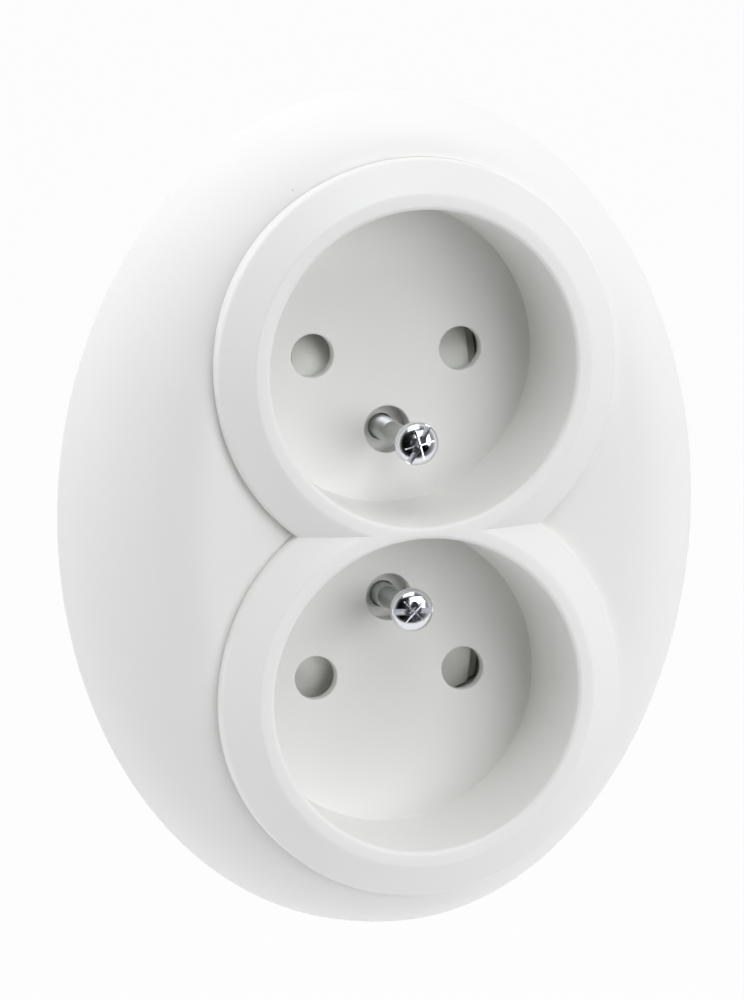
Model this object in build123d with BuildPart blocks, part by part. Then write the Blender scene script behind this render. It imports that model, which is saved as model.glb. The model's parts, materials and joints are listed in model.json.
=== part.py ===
from build123d import *
import os
from math import cos, hypot, radians, sin

# Double wall socket for one round flush box, in millimetres.
# X runs to the right, Z up and Y into the wall, whose face is Y = 0.
# A height below is the distance out of the wall, towards the room.

# Outlets: two round wells, one above the other
well_spacing = 40.2
mouth_radius = 19.4
floor_radius = 18.6
floor_height = 4.1
floor_thickness = 1.5
cup_wall = 1.6
mouth_round = 0.4
pin_pitch = 19.0
pin_hole_radius = 2.7
pin_length = 19.0
screw_offset = 9.6

# Collar and rim round the wells
collar_radius = 25.4
collar_step = 1.5
collar_round = 0.7
collar_wall = 1.8
cone_rise = 2.7
rim_width = 1.9
rim_round = 0.3

# Domed oval frame
side_margin = 15.7
end_margin = 6.8
shoulder_height = 15.8
side_roll = 15.0
end_roll = 7.0
roll_start = 30.0
roll_sections = 4
frame_wall = 2.2
seat_depth = 1.8
lip_width = 2.7
lip_thickness = 2.0
collar_clearance = 0.15

# Cover screws, not yet driven home
thread_radius = 1.5
cover_screw_length = 25.0
head_radius = 2.65
head_edge = 0.9
head_height = 1.9
slot_width = 0.75
slot_depth = 0.8
cross_span = 2.6
cross_depth = 1.3
tip_chamfer = 0.5
counterbore_radius = 2.9
counterbore_depth = 2.7
screw_hole_radius = 1.65
boss_wall = 0.8
upper_screw_gap = 14.3
upper_slot_turn = 60.0
lower_screw_gap = 11.6
lower_slot_turn = 0.0

# Shutters behind the pin holes, with their trays and springs
blade_overlap = 0.5
blade_outer_reach = 1.9
blade_inner_reach = 4.3
blade_step = 1.0
shutter_margin = 0.4
ramp_drop = 2.6
blade_thickness = 1.6
web_width = 2.2
slide_clearance = 0.25
tray_wall = 1.2
tray_floor = 1.0
pin_passage_clearance = 0.2
spring_thickness = 0.25
spring_width = 2.0
spring_reach = 2.4
spring_legs = 6
spring_fold = 0.2
spring_clearance = 0.15

# Base, contacts and terminals
base_depth = 24.5
base_wall = 1.2
rail_width = 5.3
rear_recess = 4.0
spine_width = 8.4
rear_rib = 1.8
contact_clearance = 1.8
strip_thickness = 0.8
strip_width = 5.6
channel_clearance = 0.5
leaf_thickness = 0.5
leaf_width = 4.6
leaf_bow = 0.7
leaf_flare = 0.5
leaf_length = 12.0
throat_depth = 2.4
bush_radius = 2.4
bush_length = 5.0
bush_clearance = 0.05
block_height = 8.0
block_length = 14.8
block_width = 7.0
wire_radius = 1.5
wire_pitch = 7.4
wire_window_clearance = 0.4
terminal_screw_radius = 1.25
terminal_screw_length = 2.2
terminal_head_radius = 2.3
terminal_head_height = 1.8
terminal_slot_width = 0.8
terminal_slot_depth = 0.9

# Mounting plate
plate_thickness = 1.0
plate_edge = 2.0
box_screw_spacing = 60.0
box_slot_width = 3.6
box_slot_length = 7.0
window_clearance = 0.3
window_corner = 2.0
rivet_radius = 1.45
rivet_hole_clearance = 0.05
rivet_head_radius = 2.4
rivet_head_height = 0.8
rivet_length = 8.0
rivet_pitch = 26.0

# Places worked out from the sizes above
half_spacing = well_spacing / 2
pin_x = pin_pitch / 2
screw_z = half_spacing - screw_offset
seat_height = shoulder_height - seat_depth
collar_top = shoulder_height + collar_step
rim_height = collar_top + cone_rise
rim_radius = mouth_radius + rim_width
frame_half_width = collar_radius + side_margin
frame_half_height = half_spacing + collar_radius + end_margin
opening_radius = collar_radius + collar_clearance
floor_back = floor_height - floor_thickness
screw_seat = floor_height - counterbore_depth
boss_radius = counterbore_radius + boss_wall

shutter_front = floor_back - slide_clearance
shutter_back = shutter_front - ramp_drop - blade_thickness
tray_front = shutter_back - slide_clearance
tray_back = tray_front - tray_floor
blade_inner = pin_x - blade_inner_reach
blade_outer = pin_x + blade_outer_reach
blade_side = pin_x + pin_hole_radius + shutter_margin
blade_near = half_spacing - pin_hole_radius - blade_overlap
blade_far = half_spacing + pin_hole_radius + blade_overlap
shutter_reach = hypot(pin_x, half_spacing) + pin_hole_radius + shutter_margin
shutter_travel = 2 * pin_hole_radius + blade_overlap + slide_clearance
web_near = shutter_reach - web_width
tray_half_width = blade_side + slide_clearance + tray_wall
tray_near = blade_near - shutter_travel - slide_clearance - tray_wall
base_radius = shutter_reach + slide_clearance + tray_wall
boss_hole_radius = boss_radius + slide_clearance

rail_near = tray_half_width + window_clearance
base_half_width = rail_near + rail_width
rail_middle = rail_near + rail_width / 2
contact_floor = floor_height - pin_length - contact_clearance
channel_floor = contact_floor - strip_thickness
channel_width = strip_width + 2 * leaf_thickness + 2 * channel_clearance
block_front = contact_floor + block_height
wire_height = contact_floor + block_height / 2
plate_radius = (box_screw_spacing + box_slot_length) / 2 + plate_edge


def front(height):
    """The plane that faces the room at this height out of the wall."""
    return Plane.XZ.offset(height)


def outlet_axis(side):
    return Axis((0, 0, side * half_spacing), (0, 1, 0))


def cup_radius(height):
    """Outside radius of a cup, which tapers with its well."""
    draft = (mouth_radius - floor_radius) / (rim_height - floor_height)
    return floor_radius + draft * (height - floor_height) + cup_wall


def turned(points, side, rounds=(), mode=Mode.ADD):
    """Turn a section of (radius, height) points about an outlet's axis, with its listed corners rounded."""
    with BuildSketch(Plane.XY.offset(side * half_spacing)) as section:
        with BuildLine():
            Polyline(*[(radius, -height) for radius, height in points], close=True)
        make_face()
        for (radius, height), size in rounds:
            corner = section.vertices().sort_by_distance((radius, -height, 0))[0]
            fillet(corner, radius=size)
    revolve(section.sketch, axis=outlet_axis(side), mode=mode)


def figure_eight(radius):
    with Locations((0, half_spacing), (0, -half_spacing)):
        Circle(radius)


def dome(inset):
    """The frame's domed block, every face moved in by the inset."""
    start = radians(roll_start)
    rings = []
    for step in range(roll_sections + 1):
        turn = start + (radians(90) - start) * step / roll_sections
        roll = 1 - cos(turn) / cos(start)
        rise = (sin(turn) - sin(start)) / (1 - sin(start))
        with BuildSketch(front(rise * (shoulder_height - inset))) as ring:
            Ellipse(
                frame_half_width - inset - roll * side_roll,
                frame_half_height - inset - roll * end_roll,
            )
        rings.append(ring.sketch)
    loft(rings)


# Frame: a thin dome, open at the back, with a stepped figure-of-eight opening for the insert's collar
with BuildPart() as frame_hollow:
    dome(frame_wall)
    with BuildSketch(front(seat_height - lip_thickness)):
        figure_eight(opening_radius + frame_wall)
    extrude(amount=rim_height, mode=Mode.SUBTRACT)

with BuildPart() as outer_frame:
    dome(0)
    add(frame_hollow.part, mode=Mode.SUBTRACT)
    with BuildSketch(front(0)):
        figure_eight(collar_radius - lip_width)
    extrude(amount=rim_height, mode=Mode.SUBTRACT)
    with BuildSketch(front(seat_height)):
        figure_eight(opening_radius)
    extrude(amount=rim_height, mode=Mode.SUBTRACT)

# Insert: two cups under one figure-of-eight collar, with pin holes and screw bosses in their floors
with BuildPart() as socket_insert:
    flange_radius = collar_radius - collar_wall
    groove_top = collar_top - collar_wall
    for side in (1, -1):
        turned(
            [
                (0, floor_back),
                (cup_radius(floor_back), floor_back),
                (cup_radius(groove_top), groove_top),
                (flange_radius, groove_top),
                (flange_radius, seat_height),
                (collar_radius, seat_height),
                (collar_radius, collar_top),
                (rim_radius, rim_height),
                (0, rim_height),
            ],
            side,
            [((collar_radius, collar_top), collar_round), ((rim_radius, rim_height), rim_round)],
        )
    for side in (1, -1):
        turned(
            [(0, floor_height), (floor_radius, floor_height), (mouth_radius, rim_height), (0, rim_height)],
            side,
            mode=Mode.SUBTRACT,
        )
    mouths = socket_insert.edges().filter_by(GeomType.CIRCLE)
    mouths = mouths.filter_by(lambda edge: abs(edge.radius - mouth_radius) < mouth_round)
    fillet(mouths.group_by(Axis.Y)[0], radius=mouth_round)
    with BuildSketch(front(floor_back)):
        with Locations((0, screw_z), (0, -screw_z)):
            Circle(boss_radius)
    extrude(amount=tray_back - floor_back)
    with Locations(front(floor_height)):
        with Locations((0, screw_z), (0, -screw_z)):
            CounterBoreHole(screw_hole_radius, counterbore_radius, counterbore_depth)
        with GridLocations(pin_pitch, well_spacing, 2, 2):
            Hole(pin_hole_radius, depth=floor_thickness)


def cover_screw(side, gap, slot_turn):
    """A pan head screw with a slot and a cross, its head standing the gap above its seat."""
    seat = screw_seat + gap
    top = seat + head_height
    tip = seat - cover_screw_length
    with BuildPart() as screw:
        with BuildSketch(Plane.XY.offset(side * screw_z)):
            with BuildLine():
                Polyline(
                    (0, -top),
                    (0, -tip),
                    (thread_radius - tip_chamfer, -tip),
                    (thread_radius, -tip - tip_chamfer),
                    (thread_radius, -seat),
                    (head_radius, -seat),
                    (head_radius, -seat - head_edge),
                )
                EllipticalCenterArc((0, -seat - head_edge), head_radius, head_height - head_edge, -90, arc_size=90)
            make_face()
        revolve(axis=Axis((0, 0, side * screw_z), (0, 1, 0)))
        with BuildSketch(front(top)):
            with Locations((0, side * screw_z)):
                Rectangle(2 * head_radius, slot_width, rotation=slot_turn)
        extrude(amount=-slot_depth, mode=Mode.SUBTRACT)
        with BuildSketch(front(top)):
            with Locations((0, side * screw_z)):
                Rectangle(cross_span, slot_width, rotation=slot_turn)
                Rectangle(slot_width, cross_span, rotation=slot_turn)
        extrude(amount=-cross_depth, mode=Mode.SUBTRACT)
    return screw.part


def shutter(side):
    """Two ramped blades behind the pin holes of one outlet, stepped outside and joined by a web at their far end."""
    strips = ((blade_inner, blade_outer, shutter_front), (blade_outer, blade_side, shutter_front - blade_step))
    with BuildPart() as slider:
        for pole in (1, -1):
            for inner, outer, top in strips:
                with BuildSketch(Plane.YZ.offset(pole * inner)):
                    with BuildLine():
                        Polyline(
                            (-shutter_back, side * blade_near),
                            (-top, side * blade_near),
                            (-top + ramp_drop, side * blade_far),
                            (-top + ramp_drop, side * shutter_reach),
                            (-shutter_back, side * shutter_reach),
                            close=True,
                        )
                    make_face()
                extrude(amount=pole * (outer - inner))
        with BuildSketch(front(shutter_back)):
            with Locations((0, side * (web_near + shutter_reach) / 2)):
                Rectangle(pin_pitch, web_width)
        extrude(amount=blade_thickness)
        with BuildSketch(front(shutter_back)):
            Circle(shutter_reach)
        extrude(amount=ramp_drop + blade_thickness, mode=Mode.INTERSECT)
    return slider.part


def shutter_tray(side):
    """A shallow tray that holds one shutter against the back of its outlet's floor."""
    with BuildPart() as tray:
        with BuildSketch(front(tray_back)) as outline:
            with Locations((0, side * (tray_near + base_radius) / 2)):
                Rectangle(2 * tray_half_width, base_radius - tray_near)
            Circle(base_radius, mode=Mode.INTERSECT)
        extrude(amount=floor_back - tray_back)
        with BuildSketch(front(tray_front)):
            add(outline.sketch_local)
            offset(amount=-tray_wall, kind=Kind.INTERSECTION, mode=Mode.REPLACE)
        extrude(amount=floor_back - tray_front, mode=Mode.SUBTRACT)
        with BuildSketch(front(tray_back)):
            with Locations((0, side * screw_z)):
                Circle(boss_hole_radius)
            with Locations((pin_x, side * half_spacing), (-pin_x, side * half_spacing)):
                Circle(pin_hole_radius + pin_passage_clearance)
        extrude(amount=floor_back - tray_back, mode=Mode.SUBTRACT)
    return tray.part


def shutter_spring(side):
    """A folded strip between the screw boss and the shutter's web."""
    low = screw_z + boss_radius + spring_clearance + spring_thickness
    high = web_near - spring_clearance - spring_thickness
    leg = (high - low) / spring_legs
    folds = [(spring_reach * (-1) ** fold, side * (low + leg * fold)) for fold in range(spring_legs + 1)]
    with BuildPart() as spring:
        with BuildSketch(front(shutter_back)):
            with BuildLine():
                FilletPolyline((0, side * low), *folds[:-1], (0, side * high), radius=spring_fold)
            trace(line_width=spring_thickness)
        extrude(amount=spring_width)
    return spring.part


# Base: a moulded block that fits the flush box, with a channel for each contact and side rails for the plate
with BuildPart() as socket_base:
    with BuildSketch(front(0)):
        Circle(base_radius)
        Rectangle(2 * base_half_width, 2 * base_radius, mode=Mode.INTERSECT)
    extrude(amount=-base_depth)
    with BuildSketch(front(0)):
        Rectangle(2 * rail_near, 2 * base_radius)
    extrude(amount=tray_back, mode=Mode.SUBTRACT)
    with BuildSketch(front(tray_back)):
        with Locations((pin_x, 0), (-pin_x, 0)):
            Rectangle(channel_width, 2 * base_radius)
        Circle(base_radius - base_wall, mode=Mode.INTERSECT)
    extrude(amount=channel_floor - tray_back, mode=Mode.SUBTRACT)
    with BuildSketch(front(-base_depth)):
        Circle(base_radius - base_wall)
        Rectangle(2 * (base_half_width - base_wall), 2 * base_radius, mode=Mode.INTERSECT)
        Rectangle(spine_width, 2 * base_radius, mode=Mode.SUBTRACT)
        Rectangle(2 * base_half_width, rear_rib, mode=Mode.SUBTRACT)
    extrude(amount=rear_recess, mode=Mode.SUBTRACT)
    with Locations(front(tray_back)):
        with Locations((0, screw_z), (0, -screw_z)):
            CounterBoreHole(screw_hole_radius, bush_radius + bush_clearance, bush_length, base_depth)
    with Locations(front(0)):
        with GridLocations(2 * rail_middle, rivet_pitch, 2, 2):
            Hole(rivet_radius + rivet_hole_clearance, depth=rivet_length)
    for pole in (1, -1):
        with BuildSketch(Plane.YZ.offset(pole * pin_x)):
            with Locations((-wire_height, wire_pitch / 2), (-wire_height, -wire_pitch / 2)):
                Circle(wire_radius + wire_window_clearance)
        extrude(amount=pole * base_half_width, mode=Mode.SUBTRACT)


def cover_bush(side):
    with BuildPart() as bush:
        with BuildSketch(front(tray_back)):
            with Locations((0, side * screw_z)):
                Circle(bush_radius)
                Circle(thread_radius + bush_clearance, mode=Mode.SUBTRACT)
        extrude(amount=-bush_length)
    return bush.part


def contact(pole):
    """A brass strip along one pole's channel, with two sprung leaves for a pin at each end."""
    foot = (strip_width - leaf_thickness) / 2
    mouth = contact_floor + leaf_length
    with BuildPart() as strip:
        with BuildSketch(front(channel_floor)):
            with Locations((pole * pin_x, 0)):
                Rectangle(strip_width, well_spacing + leaf_width)
        extrude(amount=strip_thickness)
        for side in (1, -1):
            with BuildSketch(Plane.XY.offset(side * half_spacing)):
                for leaf in (foot, -foot):
                    bowed = leaf - leaf_bow * leaf / foot
                    flared = bowed + leaf_flare * leaf / foot
                    with BuildLine():
                        Polyline(
                            (pole * pin_x + leaf, -channel_floor),
                            (pole * pin_x + leaf, -contact_floor - throat_depth),
                            (pole * pin_x + bowed, -mouth + throat_depth),
                            (pole * pin_x + flared, -mouth),
                        )
                    trace(line_width=leaf_thickness)
            extrude(amount=leaf_width / 2, both=True)
        with BuildSketch(front(channel_floor)):
            Circle(base_radius - base_wall - channel_clearance)
        extrude(amount=strip_thickness + leaf_length, mode=Mode.INTERSECT)
    return strip.part


def terminal_block(pole):
    with BuildPart() as block:
        with BuildSketch(front(contact_floor)):
            with Locations((pole * pin_x, 0)):
                Rectangle(block_width, block_length)
        extrude(amount=block_height)
        with BuildSketch(Plane.YZ.offset(pole * pin_x)):
            with Locations((-wire_height, wire_pitch / 2), (-wire_height, -wire_pitch / 2)):
                Circle(wire_radius)
        extrude(amount=block_width, both=True, mode=Mode.SUBTRACT)
        with Locations(front(block_front)):
            with Locations((pole * pin_x, wire_pitch / 2), (pole * pin_x, -wire_pitch / 2)):
                Hole(terminal_screw_radius + bush_clearance, depth=block_height / 2)
    return block.part


def terminal_screws(pole):
    places = [(pole * pin_x, wire_pitch / 2), (pole * pin_x, -wire_pitch / 2)]
    with BuildPart() as screws:
        with BuildSketch(front(block_front)):
            with Locations(*places):
                Circle(terminal_head_radius)
        extrude(amount=terminal_head_height)
        with BuildSketch(front(block_front)):
            with Locations(*places):
                Circle(terminal_screw_radius)
        extrude(amount=-terminal_screw_length)
        with BuildSketch(front(block_front + terminal_head_height)):
            with Locations(*places):
                Rectangle(2 * terminal_head_radius, terminal_slot_width)
        extrude(amount=-terminal_slot_depth, mode=Mode.SUBTRACT)
    return screws.part


# Plate: a sheet steel ring that rests on the wall round the box, riveted to the base's rails
with BuildPart() as mounting_plate:
    with BuildSketch(front(0)) as plate_outline:
        Circle(plate_radius)
        RectangleRounded(2 * rail_near, 2 * (base_radius + window_clearance), window_corner, mode=Mode.SUBTRACT)
        with GridLocations(box_screw_spacing, 0, 2, 1):
            SlotOverall(box_slot_length, box_slot_width, mode=Mode.SUBTRACT)
        with GridLocations(2 * rail_middle, rivet_pitch, 2, 2):
            Circle(rivet_radius + rivet_hole_clearance, mode=Mode.SUBTRACT)
    extrude(amount=plate_thickness)

with BuildPart() as plate_rivets:
    with BuildSketch(front(plate_thickness)):
        with GridLocations(2 * rail_middle, rivet_pitch, 2, 2):
            Circle(rivet_head_radius)
    extrude(amount=rivet_head_height)
    chamfer(plate_rivets.edges().group_by(Axis.Y)[0], length=rivet_head_height / 2)
    with BuildSketch(front(plate_thickness)):
        with GridLocations(2 * rail_middle, rivet_pitch, 2, 2):
            Circle(rivet_radius)
    extrude(amount=-rivet_length)

pieces = {
    "outer_frame": outer_frame.part,
    "socket_insert": socket_insert.part,
    "upper_cover_screw": cover_screw(1, upper_screw_gap, upper_slot_turn),
    "lower_cover_screw": cover_screw(-1, lower_screw_gap, lower_slot_turn),
    "socket_base": socket_base.part,
    "mounting_plate": mounting_plate.part,
    "plate_rivets": plate_rivets.part,
}
for level, side in (("upper", 1), ("lower", -1)):
    pieces[level + "_shutter"] = shutter(side)
    pieces[level + "_shutter_tray"] = shutter_tray(side)
    pieces[level + "_shutter_spring"] = shutter_spring(side)
    pieces[level + "_cover_bush"] = cover_bush(side)
for hand, pole in (("right", 1), ("left", -1)):
    pieces[hand + "_contact"] = contact(pole)
    pieces[hand + "_terminal_block"] = terminal_block(pole)
    pieces[hand + "_terminal_screws"] = terminal_screws(pole)

os.makedirs("parts", exist_ok=True)
for name, piece in pieces.items():
    piece.label = name
    export_step(piece, "parts/" + name + ".step")
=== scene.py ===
# %% [markdown]
# A double wall socket, dressed for its portrait.
# The solids of this socket already exist, and they say where everything is and how it moves. What they lack is
# what the eye looks for: soft moulded edges, a thread on the screws, the sheen of plastic and the grain of metal.
# So this lesson loads the solids as a fixed frame, models the four pieces that fill the picture anew, breaks the
# edges of all the others, gives each piece its finish, and lights the lot as a plain product photograph.

# %% Load the frame
import bmesh
import bpy
import json
from math import asin, atan2, cos, hypot, pi, radians, sin
from mathutils import Matrix, Vector

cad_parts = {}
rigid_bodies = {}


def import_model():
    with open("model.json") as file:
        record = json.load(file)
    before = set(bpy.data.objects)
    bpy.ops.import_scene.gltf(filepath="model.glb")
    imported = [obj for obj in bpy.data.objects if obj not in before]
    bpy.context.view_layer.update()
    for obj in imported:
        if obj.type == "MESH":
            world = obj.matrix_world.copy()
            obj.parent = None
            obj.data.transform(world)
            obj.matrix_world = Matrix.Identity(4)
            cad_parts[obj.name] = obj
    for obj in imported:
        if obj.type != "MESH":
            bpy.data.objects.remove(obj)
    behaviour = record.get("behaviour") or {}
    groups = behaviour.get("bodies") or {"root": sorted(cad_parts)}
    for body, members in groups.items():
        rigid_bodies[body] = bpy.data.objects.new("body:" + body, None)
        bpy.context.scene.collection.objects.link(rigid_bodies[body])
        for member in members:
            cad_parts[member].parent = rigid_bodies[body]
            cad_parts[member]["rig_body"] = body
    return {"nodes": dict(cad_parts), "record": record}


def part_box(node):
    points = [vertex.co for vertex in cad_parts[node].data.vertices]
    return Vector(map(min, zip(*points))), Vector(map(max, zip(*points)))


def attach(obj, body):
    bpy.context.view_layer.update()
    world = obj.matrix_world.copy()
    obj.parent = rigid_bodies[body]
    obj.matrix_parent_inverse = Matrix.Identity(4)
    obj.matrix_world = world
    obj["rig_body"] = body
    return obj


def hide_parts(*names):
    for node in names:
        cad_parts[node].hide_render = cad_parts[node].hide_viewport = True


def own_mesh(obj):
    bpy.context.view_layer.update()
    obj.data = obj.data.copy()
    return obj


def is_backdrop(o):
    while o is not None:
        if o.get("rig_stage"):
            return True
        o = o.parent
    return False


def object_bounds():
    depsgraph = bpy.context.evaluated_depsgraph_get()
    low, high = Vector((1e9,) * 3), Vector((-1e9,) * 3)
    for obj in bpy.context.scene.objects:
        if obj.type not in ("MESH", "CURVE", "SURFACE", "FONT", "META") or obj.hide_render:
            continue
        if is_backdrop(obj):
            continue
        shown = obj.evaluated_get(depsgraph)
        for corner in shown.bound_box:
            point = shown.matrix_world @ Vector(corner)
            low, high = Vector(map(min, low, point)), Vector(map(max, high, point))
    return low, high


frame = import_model()
cad_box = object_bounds()

# %% [markdown]
# Blender works in metres here, and a socket is measured in millimetres, so one name stands for a millimetre.
# X runs to the right and Z up. The wall is the plane Y = 0 and the room lies towards -Y, so a height below is the
# distance out of the wall: a point at height h has y = -h. The main sizes are read from the frame, so that the
# pieces made here follow it. Only what the boxes and mounts can't tell is written down.

# %% Measures read from the frame
MM = 0.001
mounts = {mount["name"]: mount for mount in frame["record"]["mounts"]}
frame_low, frame_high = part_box("outer_frame")
insert_low, insert_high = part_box("socket_insert")
frame_half_width = frame_high.x
frame_half_height = frame_high.z
shoulder_height = -frame_low.y
rim_height = -insert_low.y
boss_end = -insert_high.y
collar_radius = insert_high.x
half_spacing = insert_high.z - collar_radius

pin_hole = mounts["upper_right_pin_hole"]
pin_x = pin_hole["pos_m"][0]
pin_hole_radius = pin_hole["dims"]["r_mm"] * MM
floor_thickness = pin_hole["dims"]["length_mm"] * MM
floor_height = floor_thickness / 2 - pin_hole["pos_m"][1]
floor_back = floor_height - floor_thickness
print("outlets", round(2 * half_spacing / MM, 2), "mm apart, rims", round(rim_height / MM, 2), "mm proud")

# %% [markdown]
# Every finished piece goes through the same door. Its faces are shaded smooth, but edges sharper than a given angle
# stay crisp. A Weighted Normal modifier then lets the large flat faces decide how light falls at a rounded edge,
# so that a flat stays flat right up to its fillet. Last, the piece is tied to the body that it moves with.

# %% From bmesh to finished piece
CRISP = radians(32)


def finished(name, bm, material, slot, *nodes):
    """Turn a bmesh into an object that stands for these nodes and rides on their body."""
    mesh = bpy.data.meshes.new(name)
    bm.to_mesh(mesh)
    bm.free()
    mesh.materials.append(material)
    mesh.shade_smooth()
    mesh.set_sharp_from_angle(angle=CRISP)
    piece = bpy.data.objects.new(name, mesh)
    bpy.context.scene.collection.objects.link(piece)
    evened = piece.modifiers.new("flat faces lead", "WEIGHTED_NORMAL")
    evened.keep_sharp = True
    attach(piece, frame["nodes"][nodes[0]]["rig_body"])
    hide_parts(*nodes)
    print(name, "has", len(mesh.polygons), "faces")
    return piece


print("edges sharper than", round(CRISP, 2), "radians stay crisp")

# %% [markdown]
# Finishes come next, because each piece needs one as it is made. Shader graphs are easier to read as sums than as
# boxes and noodles. The first class below wraps one output socket, so that arithmetic on it adds a Math node. The
# second one owns a material and has a single method that adds any other node.

# %% Shader maths in plain Python
class Value:
    """One output socket, ready for arithmetic."""

    def __init__(self, finish, socket):
        self.finish = finish
        self.socket = socket

    def math(self, operation, first, second):
        return self.finish.node("Math", {"operation": operation}, {0: first, 1: second})

    def __add__(self, other):
        return self.math("ADD", self, other)

    def __radd__(self, other):
        return self.math("ADD", other, self)

    def __sub__(self, other):
        return self.math("SUBTRACT", self, other)

    def __rsub__(self, other):
        return self.math("SUBTRACT", other, self)

    def __mul__(self, other):
        return self.math("MULTIPLY", self, other)

    def __rmul__(self, other):
        return self.math("MULTIPLY", other, self)


class Finish:
    """A material, the nodes that shape it and the shader that they feed."""

    def __init__(self, tree, shader):
        self.tree = tree
        self.shader = shader

    def node(self, kind, settings, sockets, out=0):
        """Add any node: its settings first, then the values or links of its sockets."""
        made = self.tree.nodes.new("ShaderNode" + kind)
        for name, setting in settings.items():
            setattr(made, name, setting)
        for name, given in sockets.items():
            self.feed(made.inputs[name], given)
        return Value(self, made.outputs[out])

    def feed(self, socket, given):
        if isinstance(given, Value):
            self.tree.links.new(given.socket, socket)
        else:
            socket.default_value = given

    def shade(self, **sockets):
        """Set the shader's own sockets, named with underscores for spaces."""
        for name, given in sockets.items():
            self.feed(self.shader.inputs[name.replace("_", " ")], given)

    def place(self):
        return self.node("TexCoord", {}, {}, "Object")

    def noise(self, place, size, detail=2.0):
        """Cloudy values from 0 to 1 whose features are about this size across."""
        return self.node("TexNoise", {}, {"Vector": place, "Scale": 1 / size, "Detail": detail})

    def between(self, given, low, high):
        """A soft step from 0 at low to 1 at high."""
        return self.node(
            "MapRange",
            {"interpolation_type": "SMOOTHSTEP"},
            {"Value": given, "From Min": low, "From Max": high},
        )

    def mix(self, share, first, second):
        """A colour between two colours."""
        return self.node("Mix", {"data_type": "RGBA"}, {0: share, 6: first, 7: second}, 2)

    def bump(self, height, depth, below=None):
        """Relief of this depth in metres, on top of an earlier relief where one is given."""
        sockets = {"Strength": 1.0, "Distance": depth, "Height": height}
        if below:
            sockets["Normal"] = below
        return self.node("Bump", {}, sockets)


def new_finish(name):
    material = bpy.data.materials.new(name)
    material.use_nodes = True
    shader = material.node_tree.nodes["Principled BSDF"]
    return material, Finish(material.node_tree, shader)


print("a value can be added, subtracted and multiplied")

# %% [markdown]
# The white plastic is a satin moulding. Close to, it has the fine spark-eroded grain of its mould, a faint waviness
# where the wall cooled, and patches that are a little glossier than others. A few specks of dust have settled on it.
# The specks come from a cell pattern: only cells whose centre happens to lie on the skin show as a dot, so they are
# rare and never line up.

# %% White satin moulding
drift_size = 22 * MM
patch_size = 5 * MM
gloss_spread = 0.12
grain_size = 0.22 * MM
wave_size = 14 * MM
wave_depth = 0.012 * MM
dust_spacing = 9 * MM
dust_core = 0.06 * MM
dust_edge = 0.13 * MM
dust_colour = (0.2, 0.17, 0.14, 1)


def moulded_plastic(name, colour, shade, roughness, grain_depth, dust):
    """A moulded plastic: colour with a faint drift towards a shade, uneven gloss, mould grain and dust."""
    material, finish = new_finish(name)
    place = finish.place()
    drift = finish.noise(place, drift_size)
    patches = finish.noise(place, patch_size, 3.0)
    grain = finish.noise(place, grain_size, 1.0)
    waviness = finish.noise(place, wave_size, 1.0)
    skin = finish.mix(finish.between(drift, 0.35, 0.7), (*colour, 1), (*shade, 1))
    cells = finish.node("TexVoronoi", {}, {"Vector": place, "Scale": 1 / dust_spacing}, "Distance")
    speck = 1 - finish.between(cells * dust_spacing, dust_core, dust_edge)
    finish.shade(
        Base_Color=finish.mix(speck * dust, skin, dust_colour),
        Roughness=roughness + (patches - 0.5) * gloss_spread,
        Normal=finish.bump(grain, grain_depth, finish.bump(waviness, wave_depth)),
        IOR=1.5,
    )
    return material


white_plastic = moulded_plastic(
    "white_satin_plastic", (0.89, 0.89, 0.86), (0.875, 0.877, 0.845), 0.4, 0.0016 * MM, 0.45
)
shutter_plastic = moulded_plastic(
    "pale_shutter_plastic", (0.86, 0.87, 0.82), (0.83, 0.84, 0.79), 0.5, 0.003 * MM, 0.3
)
base_plastic = moulded_plastic(
    "cream_base_plastic", (0.77, 0.755, 0.7), (0.73, 0.715, 0.66), 0.55, 0.004 * MM, 0.5
)
print("plastics:", white_plastic.name, shutter_plastic.name, base_plastic.name)

# %% [markdown]
# The metals are bright zinc on steel, rolled brass and blued spring strip. Polished metal shows the room more than
# its own colour, so what makes it believable is how unevenly it does so: cloudy plating, fine hairlines from the
# rolling mill along one direction, and a dull film where hands or flux have been.

# %% Plated and rolled metals
hair_size = 0.07 * MM
hair_stretch = 25
hair_dulling = 0.1
film_cover = 0.6
film_dulling = 0.14


def rolled_metal(name, colour, film, roughness, hairline, cloud_size):
    """A metal with a cloudy film and fine hairlines along Z."""
    material, finish = new_finish(name)
    place = finish.place()
    stretched = finish.node("Mapping", {}, {"Vector": place, "Scale": (1, 1, 1 / hair_stretch)})
    hairs = finish.noise(stretched, hair_size, 3.0)
    clouds = finish.noise(place, cloud_size, 4.0)
    dull = finish.between(clouds, 0.42, 0.68)
    finish.shade(
        Base_Color=finish.mix(dull * film_cover, (*colour, 1), (*film, 1)),
        Roughness=roughness + dull * film_dulling + (hairs - 0.5) * hair_dulling,
        Normal=finish.bump(hairs, hairline),
        Metallic=1.0,
    )
    return material


zinc_plate = rolled_metal("bright_zinc", (0.74, 0.75, 0.77), (0.6, 0.62, 0.63), 0.24, 0.0006 * MM, 3 * MM)
brass = rolled_metal("rolled_brass", (0.82, 0.64, 0.3), (0.62, 0.44, 0.2), 0.26, 0.0008 * MM, 2 * MM)
spring_steel = rolled_metal("spring_strip", (0.42, 0.43, 0.46), (0.32, 0.3, 0.28), 0.3, 0.0006 * MM, 1 * MM)
print("metals:", zinc_plate.name, brass.name, spring_steel.name)

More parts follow.
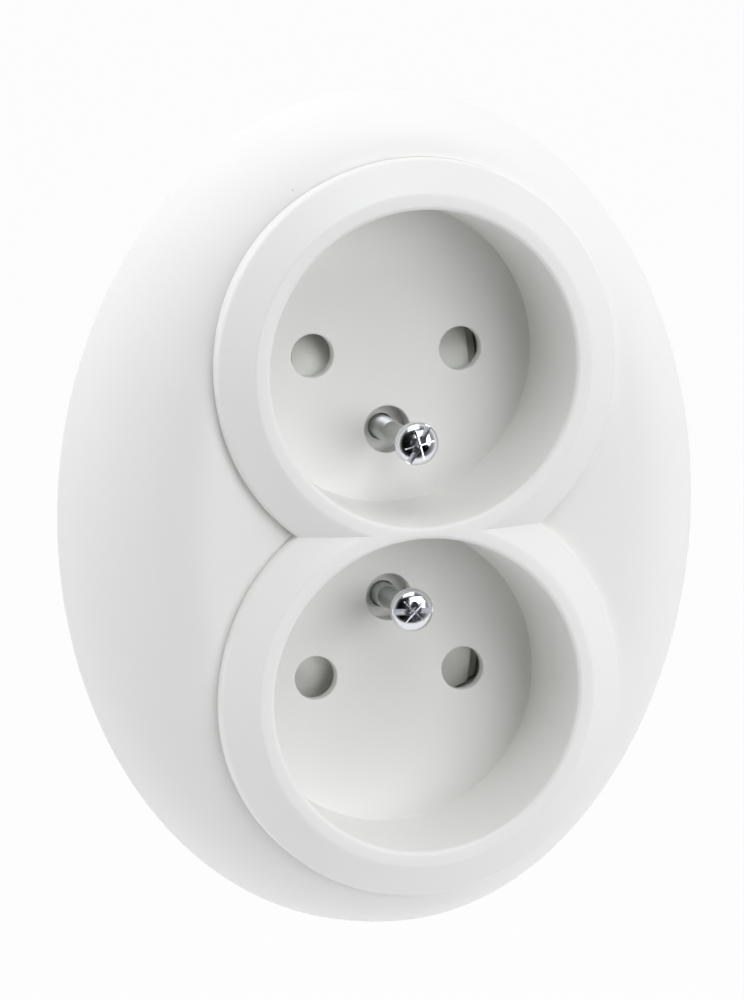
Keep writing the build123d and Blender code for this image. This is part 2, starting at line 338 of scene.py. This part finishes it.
# %% [markdown]
# The frame is a thin dome, oval at the wall and cut by a figure-of-eight opening. Both curves go once round, so
# the whole skin can be a stack of closed rings with the same number of points: ovals over the dome, rings that turn
# step by step from oval to figure of eight, then down the opening, under its lip and back along the inside. Each
# ring starts as a circle, and a rule says where each of its points goes. Bridging neighbours gives clean quads.

# %% The dome's rule
side_roll = 15.0 * MM
end_roll = 7.0 * MM
roll_start = radians(30)
HALVINGS = 30


def dome_oval(share, inset):
    """Half width, half height and height of one oval of the dome: share 0 at the wall, 1 at the crown."""
    lean = (1 - share) * cos(roll_start)
    rise = ((1 - lean * lean) ** 0.5 - sin(roll_start)) / (1 - sin(roll_start))
    return (
        frame_half_width - inset - share * side_roll,
        frame_half_height - inset - share * end_roll,
        rise * (shoulder_height - inset),
    )


def dome_height(x, z, inset):
    """How far the dome stands out of the wall at this place, found by halving."""
    low, high = 0.0, 1.0
    for halving in range(HALVINGS):
        middle = (low + high) / 2
        half_width, half_height, height = dome_oval(middle, inset)
        if hypot(x / half_width, z / half_height) > 1:
            high = middle
        else:
            low = middle
    return dome_oval(low, inset)[2]


print("dome crown", round(dome_oval(1, 0)[2] / MM, 2), "mm out of the wall")

# %% [markdown]
# A ring is made as a plain circle, and each of its points then moves to where a rule puts it. One rule gives ovals
# and one figures of eight. A third goes part of the way from one to the other and looks up the height of the dome
# at that place. All rings start at the same turn, so points that belong together lie side by side.

# %% Rings of the frame
RING_POINTS = 288
apart = 20 * MM


def oval_point(turn, half_width, half_height):
    return half_width * cos(turn), half_height * sin(turn)


def eight_point(turn, radius):
    """A point of the figure of eight; turns from 0 to half a turn run round the upper circle."""
    overhang = asin(half_spacing / radius)
    side = 1 if turn >= 0 else -1
    swing = abs(turn) / pi * (pi + 2 * overhang) - overhang
    return radius * cos(swing), side * (half_spacing + radius * sin(swing))


def ring(bm, rule):
    """A closed loop of edges whose points lie where the rule puts each turn."""
    verts = bmesh.ops.create_circle(bm, radius=1, segments=RING_POINTS)["verts"]
    for vert in verts:
        x, z, height = rule(atan2(vert.co.y, vert.co.x))
        vert.co = (x, -height, z)
    return list(dict.fromkeys(edge for vert in verts for edge in vert.link_edges))


def oval_ring(bm, share, inset):
    half_width, half_height, height = dome_oval(share, inset)
    return ring(bm, lambda turn: (*oval_point(turn, half_width, half_height), height))


def level_eight(bm, radius, height):
    return ring(bm, lambda turn: (*eight_point(turn, radius), height))


def turning_ring(bm, share, inset, radius, last_oval):
    """A ring on the dome, part of the way from its last full oval to a figure of eight."""
    half_width, half_height, height = dome_oval(last_oval, inset)

    def rule(turn):
        outer = Vector(oval_point(turn, half_width, half_height))
        x, z = outer.lerp(Vector(eight_point(turn, radius)), share)
        return x, z, dome_height(x, z, inset)

    return ring(bm, rule)


def bridged(bm, first, second):
    """Join two rings by quads. Rings in one plane have no order, so one is moved away for the moment."""
    away = Vector((0, apart, 0))
    verts = list(dict.fromkeys(vert for edge in second for vert in edge.verts))
    bmesh.ops.translate(bm, vec=away, verts=verts)
    bmesh.ops.bridge_loops(bm, edges=first + second)
    bmesh.ops.translate(bm, vec=-away, verts=verts)


print("rings of", RING_POINTS, "points")

# %% [markdown]
# Now the rings are stacked. The outside and the inside of the dome use the same rule, the inside moved in by the
# wall. Where the dome's rings turn into the figure of eight, the points keep to the dome's surface, so the skin
# shows no kink there. Two edges are softened at the end: the one that meets the wall and the one round the opening.

# %% The outer frame
frame_wall = 2.2 * MM
seat_depth = 1.8 * MM
lip_width = 2.7 * MM
lip_thickness = 2.0 * MM
collar_gap = 0.012 * MM
opening_radius = collar_radius + collar_gap
lip_radius = collar_radius - lip_width
lip_root = opening_radius + frame_wall
seat_height = shoulder_height - seat_depth
lip_back = seat_height - lip_thickness
DOME_STEPS = 14
TURN_STEPS = 12
LAST_OVAL = 0.6
frame_edge = 0.04 * MM
weld_gap = 0.002 * MM


def rounded(bm, edges, size, segments):
    bmesh.ops.bevel(
        bm, geom=edges, offset=size, segments=segments, profile=0.5, affect="EDGES", material=-1
    )


def dome_rings(bm, inset, radius):
    """Rings over the dome from the wall to the edge of a figure of eight."""
    ovals = [oval_ring(bm, LAST_OVAL * step / DOME_STEPS, inset) for step in range(DOME_STEPS + 1)]
    turning = [
        turning_ring(bm, step / TURN_STEPS, inset, radius, LAST_OVAL) for step in range(1, TURN_STEPS + 1)
    ]
    return ovals + turning


def outer_frame():
    bm = bmesh.new()
    outside = dome_rings(bm, 0, opening_radius)
    inside = dome_rings(bm, frame_wall, lip_root)
    under_lip = ring(
        bm,
        lambda turn: (
            *eight_point(turn, lip_root),
            min(lip_back, dome_height(*eight_point(turn, lip_root), frame_wall)),
        ),
    )
    lip = [
        level_eight(bm, opening_radius, seat_height),
        level_eight(bm, lip_radius, seat_height),
        level_eight(bm, lip_radius, lip_back),
        under_lip,
    ]
    skin = outside + lip + inside[::-1]
    for first, second in zip(skin, skin[1:] + skin[:1]):
        bridged(bm, first, second)
    bmesh.ops.remove_doubles(bm, verts=bm.verts, dist=weld_gap)
    bmesh.ops.recalc_face_normals(bm, faces=bm.faces)
    soft_edges = [edge for loop in (outside[0], outside[-1]) for edge in loop if edge.is_valid]
    rounded(bm, soft_edges, frame_edge, 3)
    return finished("frame_moulding", bm, white_plastic, "white_plastic", "outer_frame")


outer_frame()

# %% [markdown]
# The insert is two cups under one collar. Each cup is round, so it is a profile spun about the outlet's axis.
# The spun shape is cut at the level of the middle, and the mirror brings the other outlet. The sharp corners
# of the profile are bevelled while the rings are still whole, because a bevel that ends at a cut would pull it
# out of line.

# %% The insert's profile
mouth_radius = 19.4 * MM
floor_radius = 18.6 * MM
cup_wall = 1.6 * MM
collar_step = 1.5 * MM
collar_wall = 1.8 * MM
rim_width = 1.9 * MM
collar_top = shoulder_height + collar_step
groove_top = collar_top - collar_wall
rim_radius = mouth_radius + rim_width
floor_ledge = 1.2 * MM
SPIN_STEPS = 224


def cup_radius(height):
    """Outside radius of a cup, which tapers with its well."""
    draft = (mouth_radius - floor_radius) / (rim_height - floor_height)
    return floor_radius + draft * (height - floor_height) + cup_wall


well_profile = [
    (floor_radius - floor_ledge, floor_height),
    (floor_radius, floor_height),
    (mouth_radius, rim_height),
    (rim_radius, rim_height),
    (collar_radius, collar_top),
    (collar_radius, seat_height),
    (collar_radius - collar_wall, seat_height),
    (collar_radius - collar_wall, groove_top),
    (cup_radius(groove_top), groove_top),
    (cup_radius(floor_back), floor_back),
    (cup_radius(floor_back) - floor_ledge, floor_back),
]
corner_rounds = {
    (floor_radius, floor_height): (0.15 * MM, 3),
    (mouth_radius, rim_height): (0.55 * MM, 6),
    (rim_radius, rim_height): (0.25 * MM, 3),
    (collar_radius, collar_top): (0.42 * MM, 7),
}
print("profile of", len(well_profile), "corners,", len(corner_rounds), "of them rounded")

# %% [markdown]
# A spun profile has an inner edge at the floor, before and behind. The floors are filled between that edge and the
# edges of the holes, as a fill with holes in it. Each hole is spun too, from front to back, with a narrow flat ring
# round its mouth, so that the bevel of its edge has even quads to work on.

# %% Tools for spinning and finding edges
def spun(bm, profile, centre, steps):
    """Spin (radius, height) corners a full turn about the Y axis through this centre."""
    verts = [bm.verts.new((centre.x + radius, -height, centre.z)) for radius, height in profile]
    edges = [bm.edges.new(pair) for pair in zip(verts, verts[1:])]
    bmesh.ops.spin(
        bm, geom=verts + edges, cent=centre, axis=(0, 1, 0), angle=2 * pi, steps=steps, use_merge=True
    )


def circle_edges(bm, centre, radius, height):
    """The edges that lie on one circle about the Y axis through this centre."""
    near = 0.004 * MM

    def on_circle(vert):
        off_radius = abs(hypot(vert.co.x - centre.x, vert.co.z - centre.z) - radius)
        return off_radius < near and abs(vert.co.y + height) < near

    return [edge for edge in bm.edges if all(on_circle(vert) for vert in edge.verts)]


print("ready to spin wells and holes")

# %% [markdown]
# The real insert comes out of one mould, with a deep boss behind each screw hole to take the pull of the screw. Only
# the upper half is built here. Its two pin holes are straight, and its screw hole has a counterbore that lets the
# head go below the floor. The mirror then makes the lower half, so the two wells can't differ.

# %% The socket insert
counterbore_radius = 2.9 * MM
counterbore_depth = 2.7 * MM
screw_hole_radius = 1.65 * MM
boss_wall = 0.8 * MM
boss_radius = counterbore_radius + boss_wall
screw_seat = floor_height - counterbore_depth
hole_ring = 0.35 * MM
hole_edge = 0.16 * MM
HOLE_POINTS = 72
mirror_gap = 0.001 * MM
outlet = Vector((0, 0, half_spacing))
screw_low, screw_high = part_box("upper_cover_screw")
screw_place = Vector((0, 0, (screw_low.z + screw_high.z) / 2))

pin_column = [
    (pin_hole_radius + hole_ring, floor_height),
    (pin_hole_radius, floor_height),
    (pin_hole_radius, floor_back),
    (pin_hole_radius + hole_ring, floor_back),
]
screw_column = [
    (counterbore_radius + hole_ring, floor_height),
    (counterbore_radius, floor_height),
    (counterbore_radius, screw_seat),
    (screw_hole_radius, screw_seat),
    (screw_hole_radius, boss_end),
    (boss_radius, boss_end),
    (boss_radius, floor_back),
    (boss_radius + hole_ring, floor_back),
]


def everything(bm):
    return bm.verts[:] + bm.edges[:] + bm.faces[:]


def socket_insert():
    bm = bmesh.new()
    spun(bm, well_profile, outlet, SPIN_STEPS)
    for (radius, height), (size, segments) in corner_rounds.items():
        rounded(bm, circle_edges(bm, outlet, radius, height), size, segments)
    bmesh.ops.bisect_plane(
        bm, geom=everything(bm), plane_co=(0, 0, 0), plane_no=(0, 0, -1), clear_outer=True
    )
    front = circle_edges(bm, outlet, floor_radius - floor_ledge, floor_height)
    back = circle_edges(bm, outlet, cup_radius(floor_back) - floor_ledge, floor_back)
    holes = [(Vector((side * pin_x, 0, half_spacing)), pin_column) for side in (1, -1)]
    holes.append((screw_place, screw_column))
    for centre, column in holes:
        spun(bm, column, centre, HOLE_POINTS)
        front += circle_edges(bm, centre, *column[0])
        back += circle_edges(bm, centre, *column[-1])
    for floor in (front, back):
        bmesh.ops.triangle_fill(bm, edges=floor, use_beauty=True)
    for centre, column in holes:
        rounded(bm, circle_edges(bm, centre, *column[1]), hole_edge, 3)
    bmesh.ops.mirror(
        bm, geom=everything(bm), matrix=Matrix.Identity(4), merge_dist=mirror_gap, axis="Z"
    )
    bmesh.ops.recalc_face_normals(bm, faces=bm.faces)
    open_edges = sum(edge.is_boundary for edge in bm.edges)
    print("insert has", open_edges, "open edges")
    return finished("insert_moulding", bm, white_plastic, "white_plastic", "socket_insert")


socket_insert()

# %% [markdown]
# Each cover screw stands out of its hole, so its head catches all the light of the room. The body is one profile
# spun about the screw's axis. The thread is a ridge: a small triangle spun round and round while it moves along,
# one pitch for each turn. The drive is cut with booleans, because that is what a punch does to a real head.

# %% Screw body and thread
shank_radius = 1.3 * MM
shank_length = 9.0 * MM
thread_radius = 1.5 * MM
thread_root = 1.2 * MM
thread_pitch = 0.5 * MM
thread_run_out = 0.6 * MM
ridge_share = 0.44
ridge_sunk = 0.05 * MM
head_height = 1.9 * MM
seat_air = 0.04 * MM
head_edge = 0.9 * MM
head_round = 0.14 * MM
tip_chamfer = 0.5 * MM
SCREW_STEPS = 96
THREAD_STEPS = 40
DOME_POINTS = 14


def screw_profile(top, seat, tip, head_radius):
    """Corners of a pan head screw from the middle of its head to its point."""
    crown = seat + head_edge
    arcs = [pi / 2 * step / DOME_POINTS for step in range(DOME_POINTS + 1)]
    dome = [(head_radius * sin(arc), crown + (top - crown) * cos(arc)) for arc in arcs]
    return dome + [
        (head_radius, seat),
        (shank_radius, seat),
        (shank_radius, seat - shank_length),
        (thread_root, seat - shank_length - thread_run_out),
        (thread_root, tip + tip_chamfer),
        (thread_root - tip_chamfer, tip),
        (0, tip),
    ]


def thread_ridge(bm, centre, start, end):
    """A triangular ridge wound round the screw from one height down to another."""
    half_base = ridge_share * thread_pitch
    sunk = thread_root - ridge_sunk
    corners = ((sunk, half_base), (thread_radius, 0), (sunk, -half_base))
    verts = [bm.verts.new((centre.x + radius, -start + along, centre.z)) for radius, along in corners]
    edges = [bm.edges.new((verts[corner - 1], verts[corner])) for corner in range(len(verts))]
    turns = (start - end) / thread_pitch
    steps = round(turns * THREAD_STEPS)
    wound = bmesh.ops.spin(
        bm,
        geom=verts + edges,
        cent=centre,
        axis=(0, 1, 0),
        dvec=(0, (start - end) / steps, 0),
        angle=turns * 2 * pi,
        steps=steps,
    )
    last = [part for part in wound["geom_last"] if isinstance(part, bmesh.types.BMEdge)]
    for loop in (edges, last):
        bmesh.ops.contextual_create(bm, geom=loop)


print("thread of", round(thread_pitch / MM, 2), "mm pitch")

# %% [markdown]
# The drive is a slot right across the head, a cross of four round lobes for a bit, and four short ticks between the
# lobes that mark this kind of cross. Slot and ticks are cut by cubes that are stretched to size and turned about the
# screw's axis, and the lobes by blunt cones.

# %% Drive recess
slot_width = 0.75 * MM
slot_depth = 0.8 * MM
slot_reach = 2.4
lobe_place = 0.72 * MM
lobe_radius = 0.55 * MM
lobe_end = 0.3 * MM
cross_depth = 1.35 * MM
cross_radius = lobe_place + lobe_radius
tick_reach = 1.8 * MM
tick_width = 0.16 * MM
tick_depth = 0.34 * MM
LOBE_POINTS = 24


def bar_cutter(length, width, depth, centre, top, turn):
    """A bar that reaches this deep below the top of a head."""
    bm = bmesh.new()
    bmesh.ops.create_cube(bm, size=1)
    bmesh.ops.scale(bm, vec=(length, 2 * depth, width), verts=bm.verts)
    bmesh.ops.rotate(bm, cent=(0, 0, 0), matrix=Matrix.Rotation(-turn, 3, "Y"), verts=bm.verts)
    bmesh.ops.translate(bm, vec=(centre.x, -top, centre.z), verts=bm.verts)
    return bm


def lobe_cutter(centre, top, turn):
    """A blunt cone, off the axis in this direction, as wide as a lobe where it meets the top."""
    place = Vector((lobe_place * cos(turn), -top, lobe_place * sin(turn))) + centre
    bm = bmesh.new()
    bmesh.ops.create_cone(
        bm,
        cap_ends=True,
        segments=LOBE_POINTS,
        radius1=2 * lobe_radius - lobe_end,
        radius2=lobe_end,
        depth=2 * cross_depth,
        matrix=Matrix.Translation(place) @ Matrix.Rotation(-pi / 2, 4, "X"),
    )
    return bm


def cut(bm, cutters):
    """Subtract each cutter's shape from a body, and give the body back as a new bmesh."""
    scene = bpy.context.scene.collection
    body_mesh = bpy.data.meshes.new("body")
    bm.to_mesh(body_mesh)
    bm.free()
    body = bpy.data.objects.new("body", body_mesh)
    scene.objects.link(body)
    tools = []
    for shape in cutters:
        mesh = bpy.data.meshes.new("tool")
        shape.to_mesh(mesh)
        shape.free()
        tool = bpy.data.objects.new("tool", mesh)
        scene.objects.link(tool)
        punch = body.modifiers.new("punch", "BOOLEAN")
        punch.operation = "DIFFERENCE"
        punch.object = tool
        tools.append(tool)
    graph = bpy.context.evaluated_depsgraph_get()
    done = bpy.data.meshes.new_from_object(body.evaluated_get(graph))
    result = bmesh.new()
    result.from_mesh(done)
    for used in (body, *tools):
        bpy.data.objects.remove(used)
    return result


def drive_cutters(centre, top, head_radius, slot_turn):
    """Slot, four lobes of the cross and the ticks between them."""
    cutters = [bar_cutter(slot_reach * head_radius, slot_width, slot_depth, centre, top, slot_turn)]
    for quarter in range(4):
        cutters.append(lobe_cutter(centre, top, slot_turn + quarter * pi / 2))
    for turn in (pi / 4, -pi / 4):
        cutters.append(bar_cutter(2 * tick_reach, tick_width, tick_depth, centre, top, slot_turn + turn))
    return cutters


print("cross of", round(2 * cross_radius / MM, 2), "mm span")

# %% [markdown]
# The plating of the screws gets a finish of its own. The head is brighter than the plate, while slot, cross and
# ticks get a darker, speckled colour and a duller gloss: painted shade for the hollow of the drive. The finish works
# out how far a point lies below the dome of the head, and whatever is sunk gets the painted shade. The shank below
# the head is given a greyer colour. Each screw has a finish of its own, which knows where that screw stands.

# %% Screw finish
head_colour = (0.79, 0.8, 0.84, 1)
shank_colour = (0.5, 0.52, 0.51, 1)
# Two colours of the painted shade in the drive recess, mixed in speckles, and how far below the dome it starts and
# is full.
painted_shade_dark = (0.36, 0.37, 0.4, 1)
painted_shade_light = (0.62, 0.63, 0.66, 1)
painted_shade_from = 0.08 * MM
painted_shade_fully = 0.2 * MM
seat_fade = 0.2 * MM
scuff_depth = 0.0015 * MM
cloud_depth = 0.004 * MM


def screw_zinc(name, centre, top, head_radius):
    material, finish = new_finish(name)
    place = finish.place()
    local = finish.node("Mapping", {}, {"Vector": place, "Location": (-centre.x, top, -centre.z)})
    across = finish.node("SeparateXYZ", {}, {"Vector": local}, "X")
    depth = finish.node("SeparateXYZ", {}, {"Vector": local}, "Y")
    upward = finish.node("SeparateXYZ", {}, {"Vector": local}, "Z")
    off_axis = finish.node("Math", {"operation": "SQRT"}, {0: across * across + upward * upward})
    share = off_axis * (1 / head_radius)
    level = finish.node("Math", {"operation": "SQRT"}, {0: 1 - share * share})
    dome_depth = (1 - level) * (head_height - seat_air - head_edge)
    # Below the dome of the head, slot, cross and ticks get painted shade: a darker, speckled colour in place of the
    # plating.
    sunk = finish.between(depth - dome_depth, painted_shade_from, painted_shade_fully)
    on_head = 1 - finish.between(share, 0.93, 0.99)
    shank = finish.between(depth, head_height, head_height + seat_fade)
    painted_shade = sunk * on_head * (1 - finish.between(depth, head_height - seat_fade, head_height))
    clouds = finish.noise(place, 0.9 * MM, 4.0)
    scuffs = finish.noise(place, 0.12 * MM, 3.0)
    plating = finish.mix(shank, head_colour, shank_colour)
    painted_shade_colour = finish.mix(finish.between(scuffs, 0.4, 0.6), painted_shade_dark, painted_shade_light)
    finish.shade(
        Base_Color=finish.mix(painted_shade, plating, painted_shade_colour),
        Roughness=0.1 + clouds * 0.1 + painted_shade * 0.35 + shank * 0.25,
        Normal=finish.bump(scuffs, scuff_depth, finish.bump(clouds, cloud_depth)),
        Metallic=1.0,
    )
    return material


# The depth printed here is where the painted shade in the drive recess starts.
print("torn zinc starts", round(painted_shade_from / MM, 2), "mm below the dome")

# %% [markdown]
# Both screws are the same part, and only their slots point different ways. The slot takes the very crown off the
# head, so the box of the solid ends a little lower than its dome would. The underside is lifted by a hair to make
# up for that, and a screw that is driven home then rests on its seat and doesn't sink into it.

# %% The cover screws
def cover_screw(level, slot_turn):
    node = level + "_cover_screw"
    low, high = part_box(node)
    head_radius = (high.x - low.x) / 2
    centre = Vector(((low.x + high.x) / 2, 0, (low.z + high.z) / 2))
    top, tip = -low.y, -high.y
    seat = top - head_height + seat_air
    bm = bmesh.new()
    spun(bm, screw_profile(top, seat, tip, head_radius), centre, SCREW_STEPS)
    bmesh.ops.remove_doubles(bm, verts=bm.verts, dist=weld_gap)
    bmesh.ops.recalc_face_normals(bm, faces=bm.faces)
    rounded(bm, circle_edges(bm, centre, head_radius, seat), head_round, 3)
    bm = cut(bm, drive_cutters(centre, top, head_radius, slot_turn))
    thread_ridge(bm, centre, seat - shank_length - thread_run_out, tip + tip_chamfer)
    bmesh.ops.recalc_face_normals(bm, faces=bm.faces)
    finish = screw_zinc(level + "_screw_zinc", centre, top, head_radius)
    return finished(level + "_screw", bm, finish, "zinc_steel", node)


cover_screw("upper", radians(60))
cover_screw("lower", 0)

# %% [markdown]
# Everything behind the floors keeps the shape of its solid, but no real edge is as sharp as a solid's. A copy of
# each solid is welded, its flat faces are joined into one, and its sharp edges are broken by a tenth or two of a
# millimetre. That thin line of light along an edge is most of the difference between a drawing and a thing.

# %% Broken edges for the inner pieces
SHARP = radians(35)
FLAT = radians(0.5)
solid_weld = 0.001 * MM


def edge_broken(node, edge, material, slot):
    bm = bmesh.new()
    bm.from_mesh(frame["nodes"][node].data)
    bmesh.ops.remove_doubles(bm, verts=bm.verts, dist=solid_weld)
    bmesh.ops.dissolve_limit(bm, angle_limit=FLAT, verts=bm.verts, edges=bm.edges)
    sharp = [line for line in bm.edges if line.is_manifold and line.calc_face_angle() > SHARP]
    if edge:
        rounded(bm, sharp, edge, 2)
    return finished(node + "_piece", bm, material, slot, node)


edge_broken("socket_base", 0.25 * MM, base_plastic, "base_plastic")
edge_broken("mounting_plate", 0.12 * MM, zinc_plate, "zinc_steel")
edge_broken("plate_rivets", 0.1 * MM, zinc_plate, "zinc_steel")
for level in ("upper", "lower"):
    edge_broken(level + "_shutter", 0.15 * MM, shutter_plastic, "shutter_plastic")
    edge_broken(level + "_shutter_tray", 0.15 * MM, base_plastic, "base_plastic")
    edge_broken(level + "_cover_bush", 0.1 * MM, brass, "brass")
for hand in ("left", "right"):
    edge_broken(hand + "_contact", 0.06 * MM, brass, "brass")
    edge_broken(hand + "_terminal_block", 0.15 * MM, brass, "brass")
    edge_broken(hand + "_terminal_screws", 0.12 * MM, zinc_plate, "zinc_steel")

# %% [markdown]
# The shutter springs are thin folded strips, and the only pieces that change shape: as a shutter slides away from
# its pins, it presses its spring flat against the screw boss. Each spring is given a mesh of its own here.

# %% Springs, each with a mesh of its own
for level, side in (("upper", 1), ("lower", -1)):
    spring = edge_broken(level + "_shutter_spring", 0, spring_steel, "spring_steel")
    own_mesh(spring)

# %% [markdown]
# The picture has no horizon: the socket floats on plain white. A floor so pale would need a flood of light to look
# white, and that light would burn out the socket too. So the floor glows white only in the rays that are seen, the
# camera's own and those that reach it off metal or through something clear. The rest of the light meets an ordinary
# pale surface, which bounces it up under the frame. A small share of that surface also stays in view, so the floor
# keeps a soft shadow.

# %% Floor
floor_level = -0.17
floor_size = 6.0
floor_front = -0.22
floor_whiteness = 0.92
floor_colour = (0.8, 0.8, 0.8, 1)
WHITE = (1, 1, 1, 1)


def seen_ray(finish):
    """1 in a ray from the camera, off a mirror or through clear material, and 0 in all other light."""
    unseen = 1 - finish.node("LightPath", {}, {}, "Is Camera Ray")
    for kind in ("Is Glossy Ray", "Is Transmission Ray"):
        unseen = unseen * (1 - finish.node("LightPath", {}, {}, kind))
    return 1 - unseen


def pale_floor():
    bm = bmesh.new()
    bmesh.ops.create_grid(bm, x_segments=1, y_segments=1, size=floor_size / 2)
    bmesh.ops.translate(bm, vec=(0, floor_front + floor_size / 2, floor_level), verts=bm.verts)
    mesh = bpy.data.meshes.new("studio_floor")
    bm.to_mesh(mesh)
    bm.free()
    material, finish = new_finish("studio_floor")
    finish.shade(Base_Color=floor_colour, Roughness=0.9)
    surface = Value(finish, finish.shader.outputs[0])
    white = finish.node("Emission", {}, {"Color": WHITE, "Strength": 1.0})
    share = seen_ray(finish) * floor_whiteness
    shown = finish.node("MixShader", {}, {0: share, 1: surface, 2: white})
    finish.feed(finish.tree.nodes["Material Output"].inputs["Surface"], shown)
    mesh.materials.append(material)
    floor = bpy.data.objects.new("studio_floor", mesh)
    bpy.context.scene.collection.objects.link(floor)
    floor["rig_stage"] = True


pale_floor()
print("floor", floor_level, "m below the middle of the socket")

# %% [markdown]
# The sky is white to the camera as well. As a light it is a soft tent: bright round the sides, above and behind,
# brighter still behind on the left, which gives the frame and the collar their pale left edges. In front, where the
# photographer stands, the room is dark. Metal shows the white tent and that dark room, and a screw needs both,
# because one that mirrors only white looks like paper.

# %% Sky
tent_light = 0.95
rim_light = 1.6
daylight = (0.965, 0.97, 1.0)
into_wall = Vector((0, 1, 0))
behind_left = Vector((-1, 1, 0)).normalized()
room_dark, room_end = -0.85, -0.15
rim_edge, rim_core = radians(60), radians(15)


def towards(finish, way):
    """1 where the sky lies straight this way, 0 at a right angle to it and -1 opposite."""
    direction = finish.node("TexCoord", {}, {}, "Generated")
    return finish.node("VectorMath", {"operation": "DOT_PRODUCT"}, {0: direction, 1: way}, "Value")


def white_sky():
    world = bpy.data.worlds.new("studio_sky")
    world.use_nodes = True
    bpy.context.scene.world = world
    finish = Finish(world.node_tree, None)
    tent = finish.between(towards(finish, into_wall), room_dark, room_end)
    rim = finish.between(towards(finish, behind_left), cos(rim_edge), cos(rim_core))
    strength = tent * tent_light + rim * rim_light
    light = finish.node("Background", {}, {"Color": (*daylight, 1), "Strength": strength})
    dark_room = (1 - finish.node("LightPath", {}, {}, "Is Camera Ray")) * (1 - tent)
    white = finish.node("Background", {}, {"Color": WHITE, "Strength": 1 - dark_room})
    shown = finish.node("MixShader", {}, {0: seen_ray(finish), 1: light, 2: white})
    finish.feed(world.node_tree.nodes["World Output"].inputs["Surface"], shown)


white_sky()
print("sky gives", tent_light, "at the sides and", tent_light + rim_light, "behind on the left")

# %% [markdown]
# Two soft lamps stand in front, one high above the camera and one low on the right. They make the right side of the
# frame the bright one, shade the wells along their upper right walls and lay the shadows of the screws to the lower
# left, as the photograph has them. Their light is a touch cool. The plastic is a touch warm, so an open face comes
# out neutral, and a deep well, where the light bounces several times, comes out warmer.

# %% Soft lamps
softbox_size = 0.6


def soft_lamp(name, place, power):
    light = bpy.data.lights.new(name, "AREA")
    light.shape = "SQUARE"
    light.size = softbox_size
    light.energy = power
    light.color = daylight
    lamp = bpy.data.objects.new(name, light)
    place = Vector(place).normalized()
    lamp.matrix_world = Matrix.Translation(place) @ place.to_track_quat("Z", "Y").to_matrix().to_4x4()
    bpy.context.scene.collection.objects.link(lamp)
    print(name, "stands", [round(part, 2) for part in place], "m from the wall's origin")


soft_lamp("high_softbox", (0.0, -0.64, 0.77), 3.3)
soft_lamp("right_softbox", (0.42, -0.9, 0.12), 4.0)
bpy.context.scene.view_settings.view_transform = "Standard"

# %% [markdown]
# The photograph was taken with a long lens from a little to the left and a little above. The angles below come from
# fitting the known sizes of the socket to it: the pitch of the pin holes, the circles of the rims and the oval of
# the frame.

# %% Camera
azimuth = radians(-16.85)
elevation = radians(9.42)
roll = radians(-0.57)
camera_distance = 0.8477
focal_length = 249.2
aim = Vector((-3.84, -10.0, 2.79)) * MM
camera_data = bpy.data.cameras.new("camera")
camera_data.lens = focal_length
camera = bpy.data.objects.new("camera", camera_data)
turn = (
    Matrix.Rotation(azimuth, 4, "Z")
    @ Matrix.Rotation(pi / 2 - elevation, 4, "X")
    @ Matrix.Rotation(roll, 4, "Z")
)
camera.matrix_world = Matrix.Translation(aim) @ turn @ Matrix.Translation((0, 0, camera_distance))
bpy.context.scene.collection.objects.link(camera)
bpy.context.scene.camera = camera
print("camera at", [round(part, 4) for part in camera.matrix_world.translation])

# %% [markdown]
# Last, to see whether dressing the part has changed its size, the box of the pieces is set against the box of the
# solids, and how far its high corner has grown is printed.

# %% Sizes and finish
visual_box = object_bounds()
grown = [round((visual_box[1][i] - cad_box[1][i]) / MM, 3) for i in range(3)]
print("grown by", grown, "mm at the high corner")
